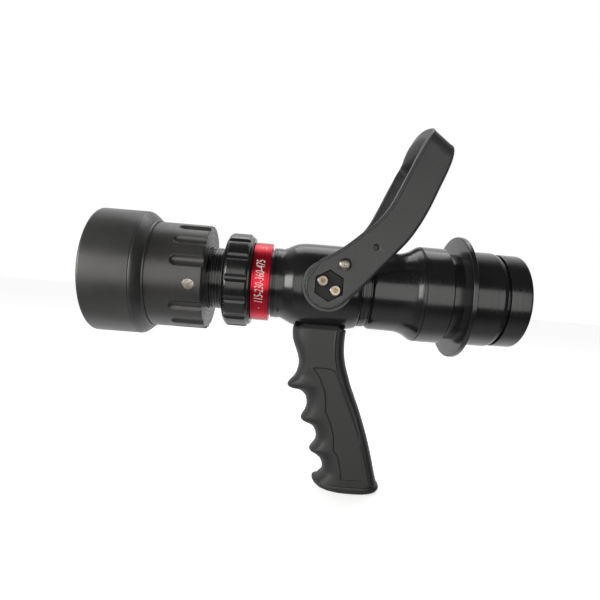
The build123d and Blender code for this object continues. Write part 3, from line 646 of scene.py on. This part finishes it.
lathe("push_ring_turned", [(-47.8, 35.56, 0), (-47.8, 39.6, 0), (-47.6, 39.6, 0.1), (-46.9, 39.2, 0.3), (-22.9, 39.2, 0.6),
                           (-19.8, 38.3, 0.4), (-19.8, 35.56, 0.2)], M_BODY, "push_off", ["push_ring"], segs=256)

# ============================================================ bail handle: a moulded band bent into a U
LA = math.radians(52.8)
CA, SA = math.cos(LA), math.sin(LA)
PX = -158.0
front_xz = [(-174.2, 6.6), (-171.0, 12.2), (-166.1, 18.4), (-159.0, 22.9), (-151.6, 27.8), (-143.7, 34.3), (-135.4, 41.8),
            (-130.0, 46.4), (-124.3, 52.4), (-117.6, 61.8), (-111.6, 74.2), (-105.1, 89.3), (-100.7, 99.4),
            (-96.9, 107.4), (-93.0, 115.0), (-89.6, 121.0), (-86.6, 126.5)]
rear_xz = [(-145.6, -12.6), (-134.7, -1.6), (-121.2, 14.4), (-109.6, 28.0), (-100.8, 38.8), (-94.2, 49.6), (-87.8, 62.6), (-81.7, 78.0),
           (-75.5, 94.4), (-71.4, 108.5), (-68.5, 117.0)]


def lm(p):
    x, z = p[0] - PX, p[1]
    return (x * CA + z * SA, x * SA - z * CA)          # along the lever, across it (positive rearwards)


def smooth_curve(pts):
    """Natural-looking interpolation of M over L by a Catmull-Rom through the points."""
    P = np.array(sorted(lm(p) for p in pts))
    L, Mv = P[:, 0], P[:, 1]
    d = np.gradient(Mv, L)

    def ev(x):
        x = np.clip(x, L[0], L[-1])
        i = np.clip(np.searchsorted(L, x) - 1, 0, len(L) - 2)
        h = L[i + 1] - L[i]
        t = (x - L[i]) / h
        return ((2 * t ** 3 - 3 * t ** 2 + 1) * Mv[i] + (t ** 3 - 2 * t ** 2 + t) * h * d[i] +
                (-2 * t ** 3 + 3 * t ** 2) * Mv[i + 1] + (t ** 3 - t ** 2) * h * d[i + 1])
    return ev


mf_raw, mr_raw = smooth_curve(front_xz), smooth_curve(rear_xz)
RB = 17.7


def m_edges(L):
    L = np.asarray(L, float)
    circ = np.sqrt(np.maximum(RB ** 2 - np.minimum(L, RB) ** 2, 0))
    f, r = mf_raw(L), mr_raw(L)
    lf, lr = lm(front_xz[0])[0], lm(rear_xz[0])[0]
    f = np.where(L < lf, -circ, f)
    r = np.where(L < lr, circ, r)
    return f, r


# centre line of the band in the (Y, L) plane: near arm up, round, across, round, far arm down
YC, T2 = 42.65, 4.35


def band_path():
    pts = []
    for L in np.concatenate([-RB + RB * (1 - np.cos(np.linspace(0, pi / 2, 26))), np.arange(1.2, 127.6, 1.2)]):
        pts.append((-YC, L))
    # rounded corner and shallow crown, on the band's centre line
    R1, L1, crown = 10.15, 128.0, 3.0
    ang = 90 + math.degrees(2 * math.atan2(crown, 47.0 - 14.5))
    c0 = (-YC + R1, L1)
    for a in np.linspace(180, ang, 26):
        pts.append((c0[0] + R1 * math.cos(math.radians(a)), c0[1] + R1 * math.sin(math.radians(a))))
    y0, l0 = pts[-1]
    R2 = -y0 / math.sin(math.radians(ang - 90))
    cy = l0 - R2 * math.cos(math.radians(ang - 90))
    for a in np.linspace(ang, 90, 24)[1:]:
        pts.append((R2 * math.cos(math.radians(a)), cy + R2 * math.sin(math.radians(a))))
    left = pts
    right = [(-y, l) for y, l in reversed(left[:-1])]
    return np.array(left + right)


def sstep(x):
    x = min(1.0, max(0.0, x))
    return x * x * (3 - 2 * x)


path = band_path()
tan = np.gradient(path, axis=0)
tan /= np.linalg.norm(tan, axis=1)[:, None]
nrm = np.stack([-tan[:, 1], tan[:, 0]], axis=1)          # points outwards (away from the hand gap)
verts, sect_n = [], None
half_n = len(path)


def section(Lq, yq):
    f_, r_ = m_edges(Lq)
    # the crossbar swells forwards between the arms, as a palm rest
    return float(f_) - 6.0 * max(0.0, 1 - (yq / 42.65) ** 2) * sstep((Lq - 108) / 16.0), float(r_)


for i, ((y, L), n_) in enumerate(zip(path, nrm)):
    f0, r0 = section(min(L, 145.0), y)
    w = max(r0 - f0, 0.02)
    T = T2 + 0.55 * max(0.0, n_[1])
    lim = 0.46 * w
    pts2 = []
    # corners: (side along M, side along the thickness, start angle, radius)
    for (sx, sy, a0, rr) in ((1, 1, 0, 3.0), (-1, 1, pi / 2, 1.5), (-1, -1, pi, 1.6), (1, -1, 3 * pi / 2, 2.2)):
        rad = min(rr, lim)
        for q in range(8):
            a = a0 + pi / 2 * q / 7
            pts2.append((sx * (w / 2 - rad) + rad * math.cos(a), sy * (T - rad) + rad * math.sin(a)))
        if sy > 0 and sx > 0:                             # across the outer face, with a fine raised rim
            e0, e1 = w / 2 - rad, -(w / 2 - min(1.5, lim))
            cuts = [0.5 * (e0 + e1) + k_ * (e0 - e1) for k_ in (0.35, 0.2, 0.05, -0.1, -0.22)]
            cuts += [e1 + (e0 - e1) * q for q in (0.14,)] + [e1 + min(dd, 0.1 * (e0 - e1)) for dd in (1.5, 1.15, 0.9, 0.65, 0.3)]
            for mm in cuts:
                dd = mm - e1
                pts2.append((mm, T - 0.32 * sstep((dd - 0.35) / 0.7) * sstep((e0 - mm) / 1.2) * min(1.0, w / 8.0)))
        else:
            nx, ny, nr = {(-1, 1): (-1, -1, 1.6), (-1, -1): (1, -1, 2.2), (1, -1): (1, 1, 3.0)}[(sx, sy)]
            nr = min(nr, lim)
            x0, y0 = pts2[-1]
            if sy == ny:
                x1, y1 = nx * (w / 2 - nr), ny * T
            else:
                x1, y1 = nx * w / 2, ny * (T - nr)
            for q in (0.15, 0.3, 0.45, 0.6, 0.75, 0.9):
                pts2.append((x0 + (x1 - x0) * q, y0 + (y1 - y0) * q))
    sect_n = len(pts2)
    for mm, tt in pts2:
        yy, ll = y + n_[0] * tt, L + n_[1] * tt
        fq, rq = section(min(ll, 145.0), yy)
        wq = max(rq - fq, 0.02)
        mq = 0.5 * (rq + fq) + mm * (wq / w)
        # shallow scoop along the inner face of each arm
        if tt < 0 and 18 < L < 126:
            e = 1 - min(1, abs(mm) / (0.46 * w)) ** 4
            l_ = sstep((L - 18) / 16) * sstep((126 - L) / 12)
            yy += n_[0] * 1.3 * max(0, e) * l_
        verts.append((PX + ll * CA + mq * SA, yy, ll * SA - mq * CA))
faces = []
for i in range(half_n - 1):
    for j in range(sect_n):
        k2 = (j + 1) % sect_n
        faces.append([i * sect_n + j, i * sect_n + k2, (i + 1) * sect_n + k2, (i + 1) * sect_n + j])
faces.append(list(range(sect_n)))
faces.append(list(range((half_n - 1) * sect_n, half_n * sect_n)))
lever = build("bail_handle_moulded", verts, faces, M_LEVER, None, angle=40)
hexp = [(12.1 * math.cos(math.radians(30 + 60 * k)), 12.1 * math.sin(math.radians(30 + 60 * k))) for k in range(6)]
tools = []
for s in (-1, 1):
    tools.append(prism("hx", hexp, 36.0, 50.0, side_frame(PX, 0, s)))
    tools.append(turned("sh", [(36.0, 0, 0), (36.0, 2.5, 0), (47.6, 2.5, 0), (47.6, 0, 0)], side_frame(-147.5, 16.5, s), M_LEVER, 32, fil=False))
    tools.append(turned("ph", [(43.0, 0, 0), (43.0, 2.2, 0), (46.0, 2.2, 0), (46.2, 2.6, 0), (48.5, 2.9, 0), (48.5, 0, 0)], side_frame(-125.5, 31.0, s), M_LEVER, 40, fil=False))
cut(lever, tools)
finish_shade(lever, 34)
settle(lever, "handle", ["bail_handle"])

# hex hubs with rounded rims, socket screws and domed stop screws
hubs, hs, ds = [], [], []
for s in (-1, 1):
    h = prism("hub", [(x * 0.985, y * 0.985) for x, y in hexp], 38.1, 45.0, side_frame(PX, 0, s), bev=0.5, mat=M_HEX)
    hubs.append(h)
    for hx, hz in ((-162.8, 3.4), (-153.2, -3.2)):
        fr = side_frame(hx, hz, s)
        sc = turned("sc", [(34.0, 0, 0), (34.0, 2.0, 0), (45.0, 2.0, 0), (45.0, 4.25, 0.15), (46.9, 4.25, 0.4), (47.6, 3.5, 0.6), (47.6, 0, 0)], fr, M_SCREW, 56)
        hexs = [(1.95 * math.cos(math.radians(15 + 60 * k)), 1.95 * math.sin(math.radians(15 + 60 * k))) for k in range(6)]
        cut(sc, [prism("k", hexs, 46.0, 49, fr)])
        hs.append(sc)
        hs.append(prism("kb", [(0.97 * x, 0.97 * y) for x, y in hexs], 45.9, 46.15, fr, mat=M_SOCKET))
    fr = side_frame(-147.5, 16.5, s)
    dome = turned("dome", [(35.0, 0, 0), (35.0, 2.45, 0.2), (47.0, 2.45, 0), (47.0, 4.75, 0.1), (47.7, 4.75, 0.25), (48.8, 3.6, 2.0), (49.3, 1.9, 2.5), (49.35, 1.4, 0.3),
                              (49.1, 1.1, 0.1), (49.1, 0, 0)], fr, M_SCREW, 64)
    ds.append(dome)
hub = join("hex_hub_pair", hubs)
finish_shade(hub, 32)
settle(hub, "handle", ["hex_hubs"])
hsj = join("hub_screw_set", hs)
finish_shade(hsj, 32)
settle(hsj, "handle", ["hub_screws"])
dsj = join("stop_screw_pair", ds)
finish_shade(dsj, 32)
settle(dsj, "handle", ["stop_screws"])

# ============================================================ pistol grip: lofted along its own axis
gd_ = Vector((30, 0, -125)).normalized()
GX, GZ = gd_.x, gd_.z                     # along the grip, downwards
G0 = (-157.5, -40.0)
gf = [(-181.4, -35.2), (-181.3, -41.0), (-180.4, -46.0), (-178.0, -52.0), (-175.6, -58.0), (-174.3, -64.0), (-174.8, -69.5), (-177.0, -75.5), (-180.2, -79.4),
      (-181.9, -81.6), (-182.3, -83.4), (-181.2, -85.2), (-178.2, -86.3), (-173.9, -86.7), (-170.5, -88.0), (-167.3, -90.7), (-165.5, -94.7),
      (-165.1, -99.7), (-166.2, -104.0), (-168.1, -107.5), (-169.0, -110.1), (-168.0, -112.2), (-165.1, -113.6), (-160.7, -115.1), (-157.5, -118.1),
      (-155.7, -121.8), (-155.2, -126.8), (-156.8, -131.1), (-159.1, -134.1), (-159.9, -135.8), (-158.6, -137.6), (-155.4, -139.2), (-151.4, -142.1),
      (-149.0, -145.7), (-148.0, -149.9), (-148.7, -154.2), (-151.4, -157.0), (-153.8, -159.2)]
gr = [(-137.1, -34.2), (-137.4, -38.8), (-137.6, -44.7), (-137.3, -51.4), (-136.6, -57.2), (-135.1, -63.8), (-132.7, -71.2), (-129.5, -80.2),
      (-125.3, -90.0), (-120.7, -100.6), (-116.9, -110.5), (-113.0, -121.2), (-109.6, -131.9), (-106.7, -141.9), (-104.5, -150.2), (-102.4, -157.0),
      (-101.0, -160.4)]


def su(p):
    x, z = p[0] - G0[0], p[1] - G0[1]
    return (x * GX + z * GZ, x * -GZ + z * GX)          # s down the grip, u across it (positive rearwards)


def curve_of(pts, ease=1):
    P = np.array([su(p) for p in pts])
    S, U = P[:, 0], P[:, 1]
    for i in range(1, len(S)):
        if S[i] <= S[i - 1] + 0.05:
            S[i] = S[i - 1] + 0.05
    d = np.zeros_like(U)
    sl = np.diff(U) / np.diff(S)
    d[1:-1] = 0.5 * (sl[:-1] + sl[1:])
    d[0], d[-1] = sl[0], sl[-1]
    d = np.clip(d, -2.6, 2.6)

    def ev(x):
        x = np.asarray(x, float)
        xc = np.clip(x, S[0], S[-1])
        i = np.clip(np.searchsorted(S, xc) - 1, 0, len(S) - 2)
        h = S[i + 1] - S[i]
        t = (xc - S[i]) / h
        y = ((2 * t ** 3 - 3 * t ** 2 + 1) * U[i] + (t ** 3 - 2 * t ** 2 + t) * h * d[i] +
             (-2 * t ** 3 + 3 * t ** 2) * U[i + 1] + (t ** 3 - t ** 2) * h * d[i + 1])
        return y + np.where(x > S[-1], (x - S[-1]) * d[-1], 0) + np.where(x < S[0], (x - S[0]) * d[0], 0)
    return ev


uf, ur = curve_of(gf), curve_of(gr)
panel_f = [(-162.0, -67.1), (-156.6, -74.0), (-151.6, -85.0), (-150.5, -93.0), (-149.8, -101.1), (-144.6, -111.3), (-141.7, -121.6),
           (-141.3, -131.4), (-136.8, -137.6), (-134.3, -147.2), (-133.0, -155.0)]
panel_r = [(-162.4, -66.4), (-158.8, -66.0), (-153.1, -66.0), (-147.6, -66.5), (-144.6, -68.6), (-140.2, -75.2), (-134.5, -85.3), (-129.7, -93.9), (-124.7, -105.7),
           (-121.1, -119.3), (-118.3, -133.8), (-115.8, -149.9), (-115.2, -155.0)]
panel = np.array(panel_r + panel_f[::-1])
flat_f = curve_of([(-167.0, -35.0), (-166.5, -48.0), (-165.0, -60.0)] + [(x - 1.2, z) for x, z in panel_f] + [(-132.6, -162.0)])


def panel_depth(x, z):
    """Signed distance to the panel's outline, positive inside (mm), for arrays."""
    a, b = panel, np.roll(panel, -1, axis=0)
    px_, pz = np.asarray(x)[:, None], np.asarray(z)[:, None]
    ex, ez = (b - a)[:, 0][None], (b - a)[:, 1][None]
    wx, wz = px_ - a[:, 0][None], pz - a[:, 1][None]
    t = np.clip((wx * ex + wz * ez) / (ex ** 2 + ez ** 2), 0, 1)
    d = np.sqrt((wx - t * ex) ** 2 + (wz - t * ez) ** 2).min(axis=1)
    c1 = (a[:, 1][None] > pz) != (b[:, 1][None] > pz)
    xi = a[:, 0][None] + (pz - a[:, 1][None]) / np.where(np.abs(ez) < 1e-9, 1e-9, ez) * ex
    inside = (np.sum(c1 & (px_ < xi), axis=1) % 2) == 1
    return np.where(inside, d, -d)


def half_width(s):
    t = min(1.0, max(0.0, s / 120.0))
    return 15.3 - 1.0 * math.sin(pi * t) + 0.4 * t


s_list = np.concatenate([np.linspace(-16.0, 40, 142), np.linspace(40.35, 127.0, 230)])
verts = []
top_z = -35.2
for s in s_list:
    f0, r0 = float(uf(s)), float(ur(s))
    hw = half_width(s)
    uF = max(float(flat_f(s)), f0 + 4.0)
    uB = r0 - (9.0 - 1.6 * min(1.0, max(0.0, s / 110)))
    uF = min(uF, uB - 4.0)
    t1 = np.linspace(0, pi / 2, 30)
    u1, v1 = uF - (uF - f0) * np.cos(t1) ** 1.0, hw * np.sin(t1) ** 0.92
    u2 = np.linspace(uF, uB, 60)[1:-1]
    v2 = np.full_like(u2, hw)
    t3 = np.linspace(0, pi / 2, 26)
    u3, v3 = uB + (r0 - uB) * np.sin(t3), (hw - 0.5) * np.cos(t3) ** 0.8 + 0.0
    u = np.concatenate([u1, u2, u3])
    v_ = np.concatenate([v1, v2, v3])
    X = G0[0] + s * GX - u * GZ
    Z = G0[1] + s * GZ + u * GX
    pd = panel_depth(X, Z)
    wgt = np.clip(pd / 0.9 + 0.5, 0, 1)
    v_ = v_ - 0.85 * wgt * wgt * (3 - 2 * wgt) * (v_ > 0.4 * hw)
    bd = (u - (uB - 0.6)) / 0.75                           # bead along the edge of the back strap
    v_ = v_ + 0.45 * np.exp(-bd * bd) * (v_ > 0.4 * hw)
    m_ = len(u)
    ring = [(X[k], -v_[k], Z[k]) for k in range(m_)] + [(X[k], v_[k], Z[k]) for k in range(m_ - 2, 0, -1)]
    NA = len(ring)
    verts += [(float(a), float(b), float(c)) for a, b, c in ring]
faces = []
n = len(s_list)
for i in range(n - 1):
    for j in range(NA):
        k2 = (j + 1) % NA
        faces.append([i * NA + j, i * NA + k2, (i + 1) * NA + k2, (i + 1) * NA + j])
faces.append(list(range(NA)))
faces.append(list(range((n - 1) * NA, n * NA)))
grip = build("pistol_grip_moulded", verts, faces, M_GRIP, None, angle=50)
# square top against the body, with the body's own curve cleared, and the bolt channel
topcut = prism("tc", [(-230, -60), (-80, -60), (-80, 60), (-230, 60)], top_z, 20, Matrix.Identity(4))
botcut = prism("bc", [(-230, -60), (-80, -60), (-80, 60), (-230, 60)], -200, -160.5, Matrix.Identity(4))
cut(grip, [topcut, botcut])
lugcut = prism("lc", round_rect(-168.05, -146.95, -8.05, 8.05, 1.0), -58.1, -30.0, Matrix.Identity(4))
cut(grip, [lugcut])
finish_shade(grip, 42)
settle(grip, "valve_body", ["pistol_grip"])

# flared base cap: stacked rounded outlines
def cap_sections():
    """(z, x_front, x_rear, half width) down the flared foot."""
    return [(-160.4, -152.6, -102.6, 14.9), (-160.45, -154.6, -101.2, 15.9), (-160.8, -155.4, -100.5, 16.3), (-161.5, -155.9, -100.0, 16.5),
            (-162.6, -155.8, -99.8, 16.5), (-163.8, -154.6, -100.1, 16.4), (-164.9, -152.4, -100.9, 16.1), (-165.8, -149.4, -102.3, 15.6),
            (-166.4, -146.2, -104.2, 14.9), (-166.8, -142.8, -106.6, 14.0), (-166.95, -140.0, -109.0, 13.0)]


NA = 144
verts, faces = [], []
for z, xf, xr, hw in cap_sections():
    c, a_ = 0.5 * (xf + xr), 0.5 * (xr - xf)
    for j in range(NA):
        t = 2 * pi * j / NA
        ca, sa = math.cos(t), math.sin(t)
        e = 3.0 if ca > 0 else 2.5
        k = (abs(ca) ** e + abs(sa) ** e) ** (-1 / e)
        x_ = c + a_ * ca * k
        curl = 2.2 * sstep((-144.0 - x_) / 12.0) * sstep((z + 166.9) / 5.0)
        verts.append((x_, hw * sa * k, z + curl))
n = len(cap_sections())
for i in range(n - 1):
    for j in range(NA):
        k2 = (j + 1) % NA
        faces.append([i * NA + j, i * NA + k2, (i + 1) * NA + k2, (i + 1) * NA + j])
faces.append(list(range(NA)))
faces.append(list(range((n - 1) * NA, n * NA)))
cap = build("grip_foot_moulded", verts, faces, M_GRIP, None, angle=50)
settle(cap, "valve_body", ["grip_base_cap"])

# ============================================================ CAD nodes that keep their shape: finish only
finish = {
    "nozzle_barrel": M_RING, "flow_ring_seals": M_SEAL, "flow_ring_clip": M_RING, "index_ring_screws": M_STEEL, "flow_detent_ball": M_STEEL,
    "flow_detent_spring": M_STEEL, "ball_seat_front": M_PTFE, "ball_seat_rear": M_PTFE, "seat_o_rings": M_SEAL, "swivel_seal": M_SEAL,
    "stem_bushes": M_PTFE, "grip_bolt": M_STEEL, "grip_washer": M_STEEL, "stem_near": M_STEEL, "stem_far": M_STEEL, "stem_o_rings": M_SEAL,
    "shut_off_ball": M_STEEL, "baffle_head": M_SLEEVE, "baffle_stem": M_STEEL, "stem_nut": M_STEEL, "stem_spider": M_SLEEVE, "drive_pins": M_STEEL,
    "sleeve_o_ring": M_SEAL, "swivel_plug": M_STEEL, "swivel_balls": M_STEEL, "inlet_gasket": M_SEAL}
for name, m in finish.items():
    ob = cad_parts[name]
    if not ob.material_slots:
        ob.data.materials.append(m)
    for sl in ob.material_slots:
        sl.material = m

# ============================================================ stage, light, camera
def area(name, loc, target, size, energy, color=(1, 1, 1), size_y=None):
    li = bpy.data.lights.new(name, "AREA")
    li.energy = energy
    li.size = size
    if size_y:
        li.shape = "RECTANGLE"
        li.size_y = size_y
    li.color = color
    ob = bpy.data.objects.new(name, li)
    ob.location = loc
    ob.rotation_euler = (Vector(target) - Vector(loc)).to_track_quat("-Z", "Y").to_euler()
    bpy.context.scene.collection.objects.link(ob)
    return ob


zf = -0.1672
me = bpy.data.meshes.new("floor")
R = 14.0
me.from_pydata([(R * math.cos(2 * pi * k / 64) - 0.17, R * math.sin(2 * pi * k / 64), zf) for k in range(64)], [], [list(range(64))])
floor = bpy.data.objects.new("floor", me)
bpy.context.scene.collection.objects.link(floor)
fm, fnt, fp_ = new_mat("floor_white")
fp_.inputs["Base Color"].default_value = (0.93, 0.93, 0.93, 1)
fp_.inputs["Roughness"].default_value = 0.9
fp_.inputs["Specular IOR Level"].default_value = 0.0
fp_.inputs["Emission Color"].default_value = (1, 1, 1, 1)
fp_.inputs["Emission Strength"].default_value = 0.62
me.materials.append(fm)

w = bpy.data.worlds.new("studio")
bpy.context.scene.world = w
w.use_nodes = True
nt = w.node_tree
for n_ in list(nt.nodes):
    nt.nodes.remove(n_)
wo = nt.nodes.new("ShaderNodeOutputWorld")
tc = nt.nodes.new("ShaderNodeTexCoord")
sep = nt.nodes.new("ShaderNodeSeparateXYZ")
nt.links.new(tc.outputs["Generated"], sep.inputs[0])


def map_range(sock, a, b, c, d):
    mr = nt.nodes.new("ShaderNodeMapRange")
    mr.interpolation_type = "SMOOTHSTEP"
    for key, val in (("From Min", a), ("From Max", b), ("To Min", c), ("To Max", d)):
        mr.inputs[key].default_value = val
    nt.links.new(sock, mr.inputs["Value"])
    return mr.outputs[0]


add = nt.nodes.new("ShaderNodeMath")
add.operation = "ADD"
nt.links.new(map_range(sep.outputs["Y"], 0.0, 0.6, 0.06, 1.0), add.inputs[0])
nt.links.new(map_range(sep.outputs["Z"], -0.98, -0.55, 0.55, 0.0), add.inputs[1])
bg_l = nt.nodes.new("ShaderNodeBackground")
bg_l.inputs["Color"].default_value = (1, 1, 1, 1)
nt.links.new(add.outputs[0], bg_l.inputs["Strength"])
bg_c = nt.nodes.new("ShaderNodeBackground")
bg_c.inputs["Strength"].default_value = 1.0
bg_c.inputs["Color"].default_value = (1, 1, 1, 1)
lp = nt.nodes.new("ShaderNodeLightPath")
mx = nt.nodes.new("ShaderNodeMixShader")
nt.links.new(lp.outputs["Is Camera Ray"], mx.inputs[0])
nt.links.new(bg_l.outputs[0], mx.inputs[1])
nt.links.new(bg_c.outputs[0], mx.inputs[2])
nt.links.new(mx.outputs[0], wo.inputs[0])
floor.visible_glossy = False
floor.visible_diffuse = False

mid = (-0.17, 0, 0)


def radiance_area(name, loc, wd, ht, L, color=(1, 1, 1), target=mid):
    return area(name, loc, target, wd, L * pi * wd * ht, color, size_y=ht)


radiance_area("soft_front", (-0.17, -1.20, 0.02), 2.0, 0.98, 2.3, (1.0, 0.985, 0.96))
radiance_area("soft_left", (-1.25, -0.62, 0.12), 0.62, 0.62, 10.0, (1.0, 0.98, 0.95))
radiance_area("soft_top", (-0.10, 0.55, 1.3), 1.2, 0.8, 2.0)

cam = bpy.data.cameras.new("camera")
cob = bpy.data.objects.new("camera", cam)
bpy.context.scene.collection.objects.link(cob)
cam.sensor_width = 36.0
cam.lens = 26.974
cam.clip_start = 0.01
right = Vector((0.9964894534892978, -0.023407646106977542, 0.08037942017911684))
up = Vector((-0.0800949686276014, 0.012847647645795914, 0.9967044366062152))
fwd = Vector((0.024363191193767387, 0.999643446461637, -0.010927710700597872))
mw = Matrix((right, up, -fwd)).transposed().to_4x4()
mw.translation = Vector((-0.186513, -0.37642627, -0.00857942))
cob.matrix_world = mw
bpy.context.scene.camera = cob
bpy.context.scene.view_settings.view_transform = "Standard"
